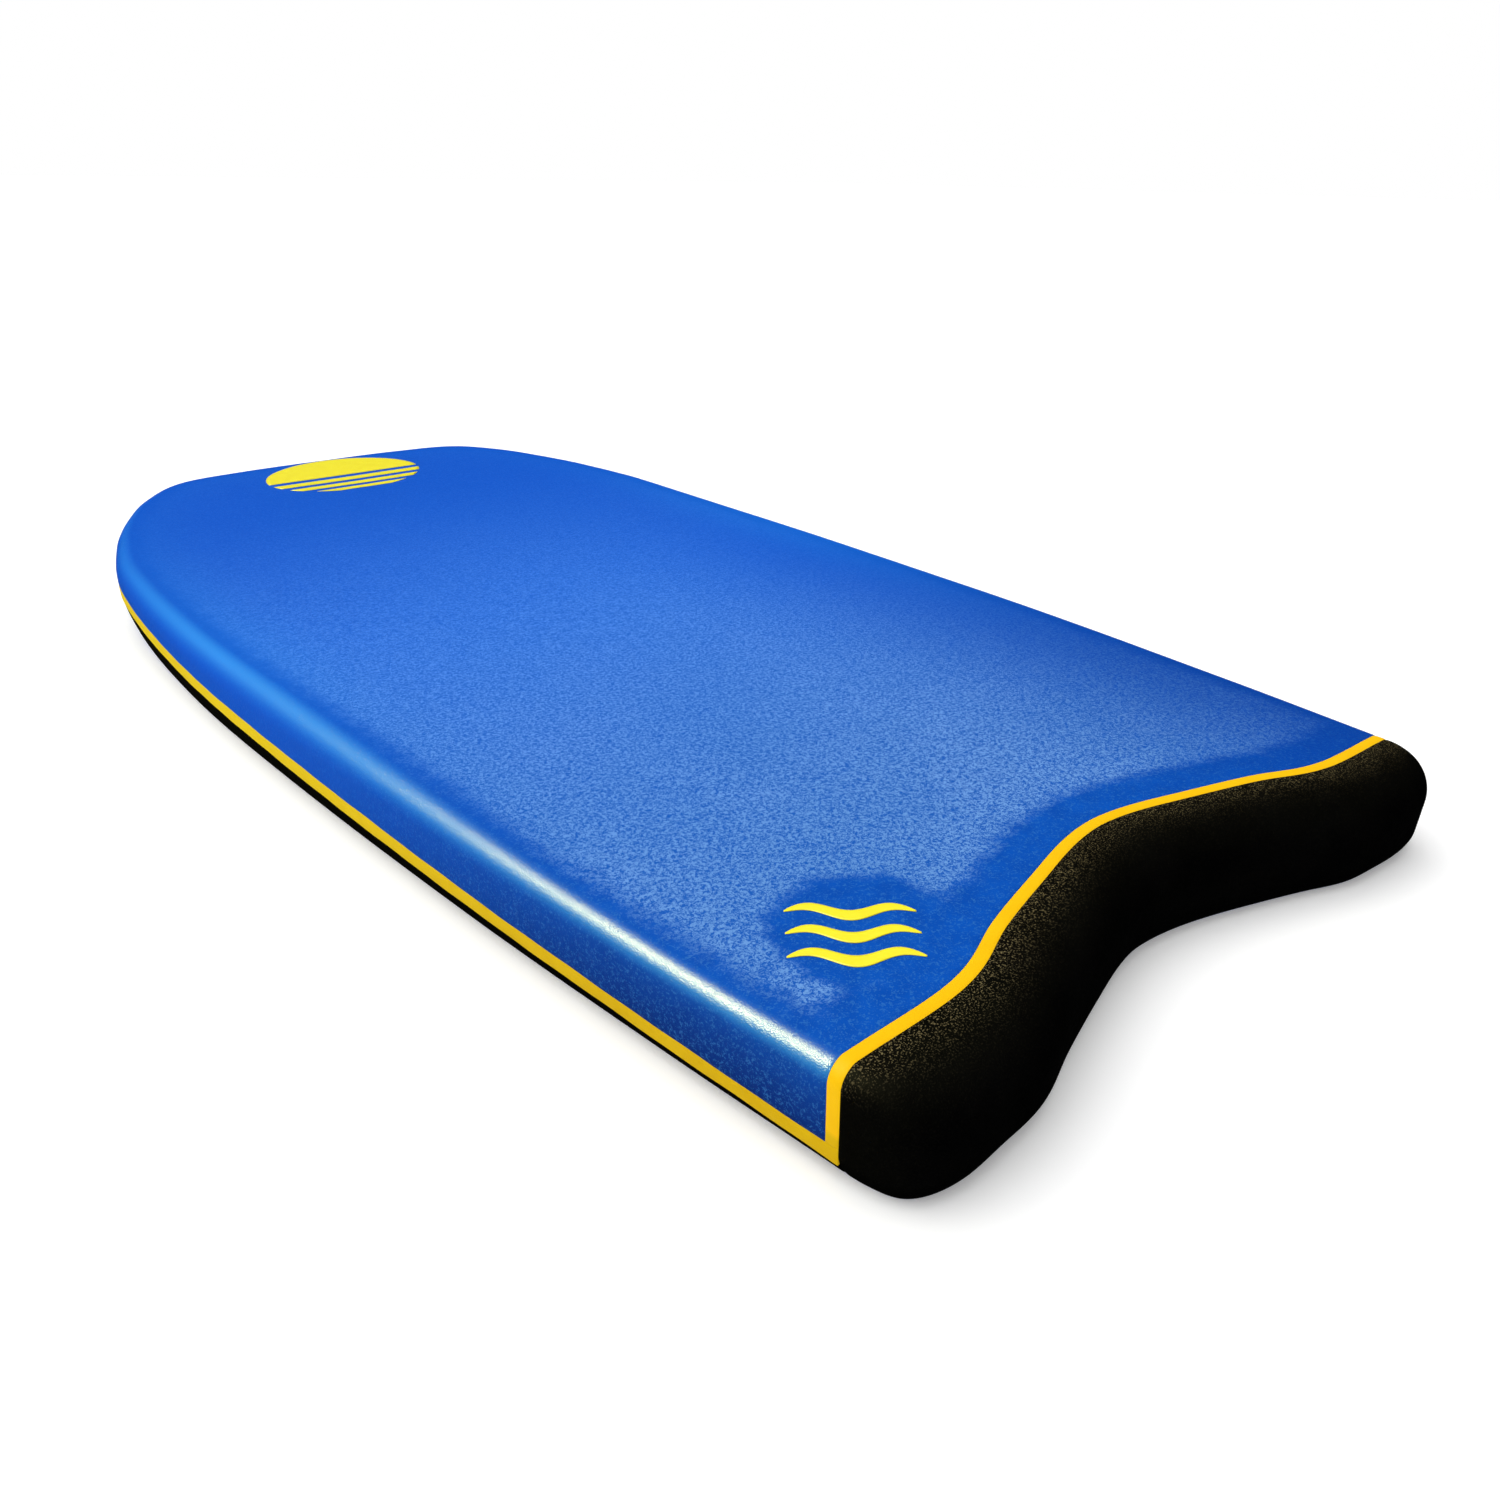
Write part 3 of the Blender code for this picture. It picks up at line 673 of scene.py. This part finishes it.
def build_bumper(material):
    half = TAIL_PINLINE / 2 + JOIN
    joint = right_rail_at(PINLINE_AT_RAIL - half)
    right = stations(0.0, joint, BUMPER_STEP, dense_end=True)
    s = np.concatenate((-right[:0:-1], right))
    y = plan(s)[..., 1]
    _, level, radius = arc_of(s)
    top = level + radius * np.sin(slant_of(y))
    middle = pinline_height(y)
    columns = []
    for share in np.linspace(0, 1, BUMPER_FOOT_STEPS):
        columns.append(foot_column(s, FOOT_HEIGHT + (middle - FOOT_HEIGHT) * share))
    for share in np.linspace(0, 1, BUMPER_FACE_STEPS)[1:-1]:
        columns.append(wall_column(s, middle + (top - middle) * share))
    columns += arc_columns(s)
    from_joint = joint - np.abs(s)
    distance = [from_joint] * len(columns)
    edge = flat_edge(s)
    corner = flat_edge(np.array((joint,)))[0]
    shift = corner[1] - pin_y(corner[0], -half)
    gap = np.maximum(pin_y(edge[:, 0], -half) + shift - edge[:, 1], 0.0)
    to_pinline = [np.full_like(s, FAR)] * (len(columns) - len(ARC_SHARES))
    to_pinline += [gap + radius * math.pi / 2 * (1 - share) for share in ARC_SHARES]
    for share in np.linspace(0, 1, BUMPER_TOP_STEPS)[1:]:
        part = share + ((1 - (1 - share) ** 2) - share) * ease(*BUMPER_CROWDING, gap)
        columns.append(deck_point(edge[:, 0], edge[:, 1] + gap * part))
        distance.append(gap * (1 - part))
        to_pinline.append(gap * (1 - part))
    distance = np.stack(distance, axis=1)
    rows = sunk(np.stack(columns, axis=1), distance)
    inside = ease(*BUMPER_CALM, distance)
    rows[..., 2] += ripple(rows, *BUMPER_RIPPLE_UP) * (rows[..., 2] > BUMPER_FOOT) * inside
    rows[..., 0] += ripple(rows, *BUMPER_RIPPLE_ACROSS) * inside
    rows[..., 1] += ripple(rows, *BUMPER_RIPPLE_ALONG) * inside
    # where the painted speckled sheen lies, along the tail pinline
    rim = np.exp(-((np.stack(to_pinline, axis=1) / RIM) ** 2))
    obj = mesh_piece("tail_bumper_skin", rows, {"rim": rim})
    declare(obj, material, "tail_bumper")


def strip_rows(s, columns, distance):
    """A strip's columns along the rail, rolled in beside its seams and at both ends."""
    from_end = np.minimum(s - s[0], s[-1] - s)[:, None]
    return sunk(np.stack(columns, axis=1), np.minimum(np.stack(distance, axis=1), from_end))


def build_lower_rail(name, s, material, node):
    """A black skin from the slick's edge up to the pinline, between two distances round."""
    top = pinline_edge(plan(s)[..., 1], -1) - JOIN
    columns, distance = [], []
    for share in 1 - np.linspace(1, 0, SKIN_STEPS) ** SKIN_CROWDING:
        height = FOOT_HEIGHT + (top - FOOT_HEIGHT) * share
        columns.append(foot_column(s, height))
        distance.append(top - height)
    obj = mesh_piece(name, strip_rows(s, columns, distance))
    declare(obj, material, node)


def build_rail_pinline(name, s, material, node):
    """A yellow strip between the deck's edge and the lower rail."""
    y = plan(s)[..., 1]
    low, high = pinline_edge(y, -1), pinline_edge(y, 1)
    half = (high - low) / 2 - JOIN
    columns, distance = [], []
    for part in ACROSS_STRIP:
        columns.append(wall_column(s, (low + high) / 2 + part * half))
        distance.append(half * (1 - abs(part)))
    # painted shade on the side towards the tail, lifting towards the nose
    shade = ease(*FRONT_FADES, y)[:, None] + np.zeros(len(columns))
    obj = mesh_piece(name, strip_rows(s, columns, distance), {"shade": shade})
    declare(obj, material, node)


def build_rails(black, yellow):
    tail = right_rail_at(PINLINE_AT_RAIL - TAIL_PINLINE / 2) + JOIN
    nose = right_rail_at(NOSE_JOINT)
    spans = (
        ("right", "right_rail_pinline", tail, nose - JOIN),
        ("nose", "nose_pinline", nose + JOIN, AROUND - nose - JOIN),
        ("left", "left_rail_pinline", AROUND - nose + JOIN, AROUND - tail),
    )
    for side, pinline_node, first, last in spans:
        s = stations(first, last, RAIL_STEP, dense_start=True, dense_end=True)
        build_lower_rail(f"{side}_lower_rail", s, black, f"{side}_rail_skin")
        build_rail_pinline(f"{side}_pinline_strip", s, yellow, pinline_node)


def build_slick(material):
    """The slick as rings in from its rounded edge to a line down the board's middle."""
    s = np.linspace(0, AROUND, SLICK_STATIONS)
    rings = []
    for angle in np.linspace(0, math.pi / 2, SLICK_EDGE_STEPS):
        inset = SLICK_INSET + SLICK_ROUNDING * (1 - math.cos(angle))
        height = SLICK_ROUNDING * (1 - math.sin(angle))
        rings.append(from_edge(s, np.full_like(s, inset), np.full_like(s, height)))
    edge = plan(s) + inward(s) * (SLICK_INSET + SLICK_ROUNDING)
    spine = np.stack((np.zeros_like(s), np.clip(edge[:, 1], *SPINE)), axis=-1)
    for share in np.linspace(0, 1, SLICK_RINGS)[1:]:
        flat = edge + (spine - edge) * share
        rings.append(in_space(flat, np.zeros(len(s))))
    obj = mesh_piece("slick", np.array(rings), wall=SLICK_WALL)
    declare(obj, material, "bottom_slick")


def film_piece(name, left, right, across, material, node):
    """A printed film between two edges in plan, lying on the deck."""
    shares = np.linspace(0, 1, across)
    flat = left[:, None, :] + (right - left)[:, None, :] * shares[None, :, None]
    rows = deck_point(flat[..., 0], flat[..., 1])
    rows[..., 2] += FILM_LIFT + FILM
    obj = mesh_piece(name, rows, wall=FILM, turned=True)
    declare(obj, material, node)


def build_sun(material):
    """The nose's mark: an oval disc whose rear is cut into bars."""
    spans = [("disc", -SUN_EDGES[0], SUN_TIP, DISC_STEPS)]
    for k in range(3):
        low, high = SUN_EDGES[2 * k + 1], SUN_EDGES[2 * k + 2]
        spans.append((f"bar_{k + 1}", -high, -low, BAR_STEPS))
    for name, low, high, steps in spans:
        angles = np.linspace(math.asin(low), math.asin(high), steps)
        half = SUN_HALF_WIDTH * np.cos(angles)
        y = SUN_CENTRE + SUN_HALF_LENGTH * np.sin(angles)
        left, right = np.stack((-half, y), axis=1), np.stack((half, y), axis=1)
        node = f"nose_print_{name}"
        film_piece(f"nose_sun_{name}", left, right, SUN_COLUMNS, material, node)


def build_waves(material):
    """The tail's mark: three wavy bars."""
    turn = np.array(Matrix.Rotation(WAVE_TURN, 2))
    share = np.linspace(0, 1, WAVE_STEPS)
    taper = np.sqrt(np.maximum(np.sin(math.pi * share), WAVE_BLUNTNESS))
    line = WAVE_LENGTH * (share - 0.5)
    for k in range(3):
        middle = (k - 1) * WAVE_PITCH + WAVE_HEIGHT * np.sin(3 * math.pi * share)
        edges = []
        for move in (1, -1):
            edge = np.stack((line, middle + move * WAVE_BAND / 2 * taper), axis=1)
            edges.append(edge @ turn.T + WAVE_CENTRE)
        node = f"tail_print_wave_{k + 1}"
        film_piece(f"tail_wave_{k + 1}", *edges, WAVE_COLUMNS, material, node)


# ---------------------------------------------------------------- materials


class Shader:
    """A Principled material and short ways to wire its nodes."""

    def __init__(self, name):
        self.material = bpy.data.materials.new(name)
        self.material.use_nodes = True
        self.tree = self.material.node_tree
        self.surface = self.tree.nodes["Principled BSDF"]
        self.place = self.add("ShaderNodeTexCoord").outputs["Object"]

    def add(self, kind, **settings):
        node = self.tree.nodes.new(kind)
        for key, value in settings.items():
            setattr(node, key, value)
        return node

    def wire(self, source, target):
        self.tree.links.new(source, target)

    def fixed(self, **values):
        for key, value in values.items():
            self.surface.inputs[key.replace("_", " ")].default_value = value

    def noise(self, scale, detail=2.0, roughness=0.5, distortion=0.0, stretch=None):
        node = self.add("ShaderNodeTexNoise")
        node.inputs["Scale"].default_value = scale
        node.inputs["Detail"].default_value = detail
        node.inputs["Roughness"].default_value = roughness
        node.inputs["Distortion"].default_value = distortion
        source = self.place
        if stretch:
            mapping = self.add("ShaderNodeMapping")
            mapping.inputs["Scale"].default_value = stretch
            self.wire(source, mapping.inputs["Vector"])
            source = mapping.outputs["Vector"]
        self.wire(source, node.inputs["Vector"])
        return node.outputs["Fac"]

    def attribute(self, name):
        return self.add("ShaderNodeAttribute", attribute_name=name).outputs["Fac"]

    def spread(self, source, low, high, to_low=0.0, to_high=1.0):
        """The source's values from low to high, spread from to_low to to_high and clamped."""
        node = self.add("ShaderNodeMapRange")
        ends = {"From Min": low, "From Max": high, "To Min": to_low, "To Max": to_high}
        for key, value in ends.items():
            node.inputs[key].default_value = value
        self.wire(source, node.inputs["Value"])
        return node.outputs["Result"]

    def math(self, operation, first, second):
        node = self.add("ShaderNodeMath", operation=operation)
        for socket, value in zip(node.inputs, (first, second)):
            if isinstance(value, (int, float)):
                socket.default_value = value
            else:
                self.wire(value, socket)
        return node.outputs["Value"]

    def mix(self, share, first, second):
        node = self.add("ShaderNodeMix", data_type="RGBA")
        sockets = (node.inputs[MIX_FIRST], node.inputs[MIX_SECOND])
        for socket, value in zip(sockets, (first, second)):
            if isinstance(value, tuple):
                socket.default_value = (*value, 1.0)
            else:
                self.wire(value, socket)
        self.wire(share, node.inputs[MIX_SHARE])
        return node.outputs[MIX_RESULT]

    def bump(self, height, strength, distance, after=None):
        node = self.add("ShaderNodeBump")
        node.inputs["Strength"].default_value = strength
        node.inputs["Distance"].default_value = distance
        self.wire(height, node.inputs["Height"])
        if after:
            self.wire(after, node.inputs["Normal"])
        return node.outputs["Normal"]


def deck_material():
    """Royal blue foam: a pebbled grain over the middle with a pale sheen painted on it, smoother
    and a deeper blue without the sheen where the skin was heat-sealed round the print, along the
    tail and over the rails. Painted shade darkens it to the right and down the sides, painted light
    lifts it towards the nose, and a painted highlight runs pale along the rounded edges."""
    m = Shader("blue_deck_foam")
    pebble = m.noise(520, 2.0, 0.60, 0.8)
    fine = m.noise(1400, 2.0)
    mottle = m.noise(70, 3.0)
    cloud = m.noise(9, 3.0)
    pebble_and_sheen = m.attribute("pebble_and_sheen")
    rail = m.attribute("rail")
    front = m.attribute("front")
    crest = m.attribute("crest")
    right = m.attribute("right")
    grain = m.math("ADD", m.math("MULTIPLY", pebble, 0.60), m.math("MULTIPLY", fine, 0.40))
    deep = m.mix(m.spread(mottle, 0.35, 0.65), (0.0004, 0.066, 0.400), (0.0010, 0.080, 0.450))
    # painted shade to the right
    deep = m.mix(right, deep, (0.0004, 0.046, 0.330))
    # painted shade down the side
    deep = m.mix(rail, deep, (0.0003, 0.022, 0.170))
    # painted light towards the nose
    deep = m.mix(front, deep, (0.0015, 0.085, 0.570))
    sparse = m.spread(grain, 0.52, 0.62, 0.0, 0.55)
    # the grain's cyan speck colour, in painted shade to the right
    speck = m.mix(right, (0.030, 0.170, 0.480), (0.012, 0.100, 0.400))
    # painted light lifts the speck colour towards the nose
    deep = m.mix(sparse, deep, m.mix(front, speck, (0.006, 0.130, 0.650)))
    # the pale sheen painted on the pebbled grain, lighter towards the nose
    pale = m.mix(m.spread(cloud, 0.35, 0.65), (0.115, 0.285, 0.620), (0.150, 0.330, 0.690))
    pale = m.mix(front, pale, (0.060, 0.235, 0.800))
    valley = m.mix(front, (0.008, 0.095, 0.450), (0.012, 0.120, 0.600))
    pebbled = m.mix(m.spread(grain, 0.44, 0.57), valley, pale)
    pebbled = m.mix(pebble_and_sheen, deep, pebbled)
    # the painted highlight along the rounded edge
    painted_highlight_blue = m.mix(front, (0.016, 0.230, 0.540), (0.012, 0.245, 0.780))
    m.wire(m.mix(crest, pebbled, painted_highlight_blue), m.surface.inputs["Base Color"])
    m.wire(m.spread(fine, 0.3, 0.7, 0.30, 0.50), m.surface.inputs["Roughness"])
    wide = m.bump(mottle, 0.12, 0.0006)
    relief = m.math("MULTIPLY", grain, m.spread(pebble_and_sheen, 0.0, 1.0, 0.55, 1.0))
    normal = m.bump(relief, 0.60, 0.00055, wide)
    m.wire(normal, m.surface.inputs["Normal"])
    m.wire(m.bump(fine, 0.50, 0.00035, normal), m.surface.inputs["Coat Normal"])
    m.wire(m.math("MULTIPLY", m.attribute("polish"), 0.8), m.surface.inputs["Coat Weight"])
    m.fixed(Specular_IOR_Level=0.03, Coat_Roughness=0.26)
    return m.material


def black_foam_material():
    """Black closed-cell foam: matte, with a leathery grain, faint pale speckles, and a painted
    speckled sheen along its shoulder by the tail pinline.
    """
    m = Shader("black_foam")
    grain = m.noise(900, 3.0, 0.6, 0.4)
    wrinkle = m.noise(160, 3.0, 0.6, 0.8)
    # rim: a painted speckled sheen along the shoulder by the tail pinline, faint speckles elsewhere
    rim = m.spread(m.attribute("rim"), 0.0, 1.0, 0.010, 1.0)
    specks_and_sheen = m.math("MULTIPLY", m.spread(m.noise(1300, 1.0), 0.56, 0.68), rim)
    dust = m.spread(m.noise(30, 3.0), 0.35, 0.7)
    base = m.mix(dust, (0.0007, 0.0007, 0.0008), (0.0016, 0.0016, 0.0015))
    m.wire(m.mix(specks_and_sheen, base, (0.170, 0.135, 0.060)), m.surface.inputs["Base Color"])
    m.wire(m.spread(wrinkle, 0.3, 0.7, 0.55, 0.72), m.surface.inputs["Roughness"])
    wide = m.bump(wrinkle, 0.25, 0.0006)
    m.wire(m.bump(grain, 0.5, 0.00035, wide), m.surface.inputs["Normal"])
    m.fixed(Specular_IOR_Level=0.02)
    return m.material


def pinline_material(name, dark, light):
    """Yellow foam with painted shade: dark where the "shade" attribute is 0 and lit where it is 1.
    """
    m = Shader(name)
    grain = m.noise(1100, 2.0)
    mottle = m.spread(m.noise(55, 3.0), 0.35, 0.65, 0.0, 0.12)
    yellow = m.mix(m.attribute("shade"), dark, light)
    m.wire(m.mix(mottle, yellow, (0.940, 0.720, 0.010)), m.surface.inputs["Base Color"])
    m.wire(m.spread(grain, 0.3, 0.7, 0.45, 0.60), m.surface.inputs["Roughness"])
    m.wire(m.bump(grain, 0.35, 0.00020), m.surface.inputs["Normal"])
    m.fixed(Specular_IOR_Level=0.04)
    return m.material


def ink_material():
    """The print's lemon yellow, on a smooth film."""
    m = Shader("lemon_film")
    grain = m.noise(700, 2.0)
    tint = m.spread(m.noise(90, 2.0), 0.35, 0.65)
    lemon = m.mix(tint, (0.930, 0.810, 0.002), (0.960, 0.850, 0.006))
    m.wire(lemon, m.surface.inputs["Base Color"])
    m.wire(m.spread(grain, 0.3, 0.7, 0.36, 0.50), m.surface.inputs["Roughness"])
    m.wire(m.bump(grain, 0.25, 0.00020), m.surface.inputs["Normal"])
    return m.material


def slick_material():
    """The glossy blue slick, with the weave of the mesh showing faintly and fine scuffs."""
    m = Shader("blue_slick")
    warp = m.add("ShaderNodeTexWave", wave_type="BANDS", bands_direction="X")
    weft = m.add("ShaderNodeTexWave", wave_type="BANDS", bands_direction="Y")
    for wave in (warp, weft):
        wave.inputs["Scale"].default_value = 95
        m.wire(m.place, wave.inputs["Vector"])
    weave = m.math("ADD", warp.outputs["Fac"], weft.outputs["Fac"])
    scuffs = m.noise(40, 4.0, 0.7, 0.0, (6.0, 0.6, 1.0))
    cloud = m.spread(m.noise(12, 3.0), 0.35, 0.65)
    blue = m.mix(cloud, (0.004, 0.070, 0.430), (0.006, 0.085, 0.480))
    m.wire(blue, m.surface.inputs["Base Color"])
    m.wire(m.spread(scuffs, 0.35, 0.75, 0.16, 0.34), m.surface.inputs["Roughness"])
    m.wire(m.bump(weave, 0.12, 0.00010), m.surface.inputs["Normal"])
    m.fixed(Coat_Weight=0.3, Coat_Roughness=0.12)
    return m.material


def hidden_material(name, first, second, scale, roughness):
    """A plain two-tone grain for a layer inside the board."""
    m = Shader(name)
    grain = m.noise(scale, 3.0)
    m.wire(m.mix(m.spread(grain, 0.35, 0.65), first, second), m.surface.inputs["Base Color"])
    m.wire(m.bump(grain, 0.3, 0.0003), m.surface.inputs["Normal"])
    m.fixed(Roughness=roughness)
    return m.material


def finish_inner_nodes():
    """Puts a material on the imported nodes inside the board, which stay as they are."""
    foam = hidden_material("core_foam_cells", (0.74, 0.75, 0.76), (0.84, 0.85, 0.86), 500, 0.85)
    tube = hidden_material("carbon_tube", (0.010, 0.010, 0.011), (0.030, 0.030, 0.032), 700, 0.30)
    cap = hidden_material("white_cap_plastic", (0.72, 0.72, 0.72), (0.80, 0.80, 0.80), 300, 0.50)
    weave = hidden_material("white_mesh_weave", (0.60, 0.61, 0.62), (0.85, 0.86, 0.87), 420, 0.65)
    finishes = {
        "core": foam,
        "bore_plug": foam,
        "stringer_tube": tube,
        "stringer_nose_cap": cap,
        "stringer_tail_cap": cap,
        "bottom_mesh": weave,
    }
    for node, material in finishes.items():
        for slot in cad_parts[node].material_slots:
            slot.material = material


# ---------------------------------------------------------------- stage, light, camera


def build_stage():
    mesh = bpy.data.meshes.new("floor")
    signs = ((-1, -1), (1, -1), (1, 1), (-1, 1))
    corners = [(x * FLOOR_REACH, y * FLOOR_REACH, FLOOR_LEVEL) for x, y in signs]
    mesh.from_pydata(corners, [], [(0, 1, 2, 3)])
    floor = bpy.data.objects.new("floor", mesh)
    bpy.context.scene.collection.objects.link(floor)
    m = Shader("pale_floor")
    cloud = m.spread(m.noise(3, 2.0), 0.3, 0.7)
    m.wire(m.mix(cloud, (0.90, 0.90, 0.90), (0.92, 0.92, 0.92)), m.surface.inputs["Base Color"])
    m.fixed(Roughness=0.9, Specular_IOR_Level=0.1, Emission_Strength=FLOOR_GLOW)
    m.fixed(Emission_Color=WHITE)
    mesh.materials.append(m.material)
    floor.visible_glossy = False


def build_gloss_strip():
    """A soft strip past the nose for the gloss on the rails, square to the board's length."""
    light = bpy.data.lights.new("gloss_strip", "AREA")
    light.shape = "RECTANGLE"
    light.size, light.size_y = KEY_SIZE
    light.energy = KEY_POWER
    light.color = KEY_COLOUR
    obj = bpy.data.objects.new("gloss_strip", light)
    bpy.context.scene.collection.objects.link(obj)
    back = (Vector(KEY_PLACE) - Vector(KEY_TARGET)).normalized()
    long_side = Vector((0, 1, 0)).cross(back).normalized()
    turn = Matrix((long_side.cross(back), long_side, back)).transposed().to_4x4()
    obj.matrix_world = Matrix.Translation(KEY_PLACE) @ turn
    obj.visible_camera = False
    obj.visible_diffuse = False


def build_world():
    """A white sweep behind, that lights softly from all round and shows little in a gloss."""
    world = bpy.data.worlds.new("studio")
    bpy.context.scene.world = world
    world.use_nodes = True
    tree = world.node_tree
    ray = tree.nodes.new("ShaderNodeLightPath")
    shown = tree.nodes["Background"]
    shown.inputs["Color"].default_value = WHITE
    shown.inputs["Strength"].default_value = AMBIENT
    result = shown.outputs[0]
    for kind, strength in (("Is Glossy Ray", REFLECTED), ("Is Camera Ray", 1.0)):
        layer = tree.nodes.new("ShaderNodeBackground")
        layer.inputs["Color"].default_value = WHITE
        layer.inputs["Strength"].default_value = strength
        mix = tree.nodes.new("ShaderNodeMixShader")
        tree.links.new(ray.outputs[kind], mix.inputs[0])
        tree.links.new(result, mix.inputs[1])
        tree.links.new(layer.outputs[0], mix.inputs[2])
        result = mix.outputs[0]
    tree.links.new(result, tree.nodes["World Output"].inputs["Surface"])


def build_overhead():
    """A broad soft light from above."""
    lamp = bpy.data.lights.new("overhead", "SUN")
    lamp.energy = OVERHEAD
    lamp.angle = math.radians(OVERHEAD_SPREAD)
    overhead = bpy.data.objects.new("overhead", lamp)
    bpy.context.scene.collection.objects.link(overhead)
    overhead.rotation_euler = Vector(OVERHEAD_FROM).to_track_quat("Z", "Y").to_euler()
    overhead.visible_glossy = False


def build_camera():
    yaw, pitch, roll = CAMERA_YAW, CAMERA_PITCH, CAMERA_ROLL
    ahead = Vector(
        (-math.sin(yaw) * math.cos(pitch), math.cos(yaw) * math.cos(pitch), math.sin(pitch))
    )
    level = ahead.cross(Vector((0, 0, 1))).normalized()
    upright = level.cross(ahead)
    right = level * math.cos(roll) + upright * math.sin(roll)
    up = upright * math.cos(roll) - level * math.sin(roll)
    camera = bpy.data.cameras.new("camera")
    camera.sensor_width = CAMERA_SENSOR
    camera.lens = CAMERA_LENS
    camera.clip_start = CAMERA_NEAR
    obj = bpy.data.objects.new("camera", camera)
    bpy.context.scene.collection.objects.link(obj)
    turn = Matrix((right, up, -ahead)).transposed().to_4x4()
    obj.matrix_world = Matrix.Translation(CAMERA_PLACE) @ turn
    bpy.context.scene.camera = obj


def main():
    bpy.context.scene.view_settings.view_transform = "Standard"
    black, ink = black_foam_material(), ink_material()
    build_deck(deck_material())
    build_tail_pinline(pinline_material("tail_pinline_foam", *TAIL_YELLOWS))
    build_bumper(black)
    build_rails(black, pinline_material("rail_pinline_foam", *RAIL_YELLOWS))
    build_slick(slick_material())
    build_sun(ink)
    build_waves(ink)
    finish_inner_nodes()
    build_stage()
    build_world()
    build_overhead()
    build_gloss_strip()
    build_camera()


main()
